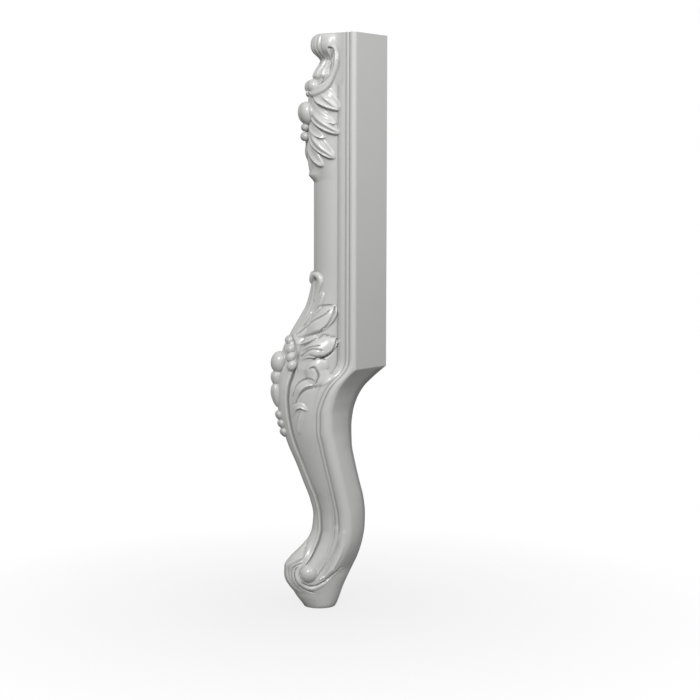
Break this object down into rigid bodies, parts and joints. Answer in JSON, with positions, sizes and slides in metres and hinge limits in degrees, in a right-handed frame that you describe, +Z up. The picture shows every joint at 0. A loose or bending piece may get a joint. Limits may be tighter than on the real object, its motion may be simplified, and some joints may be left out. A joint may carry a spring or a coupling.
{
  "type": "vanity cabinet leg",
  "caption": "Carved cabriole corner leg for a vanity cabinet: square post with a moulded round front corner, leafy knee, scroll toe and round foot pad.",
  "frame": {"origin": "centre of the round foot pad, on the floor", "axes": "+Z up; the two plain backs of the post face +X and +Y, and the carved front corner faces away from both"},
  "size_m": [0.1202, 0.1202, 0.8],
  "materials": {
    "painted_wood": "satin light grey paint on carved wood"
  },
  "bodies": {
    "root": {"leg": "painted_wood"}
  },
  "joints": []
}
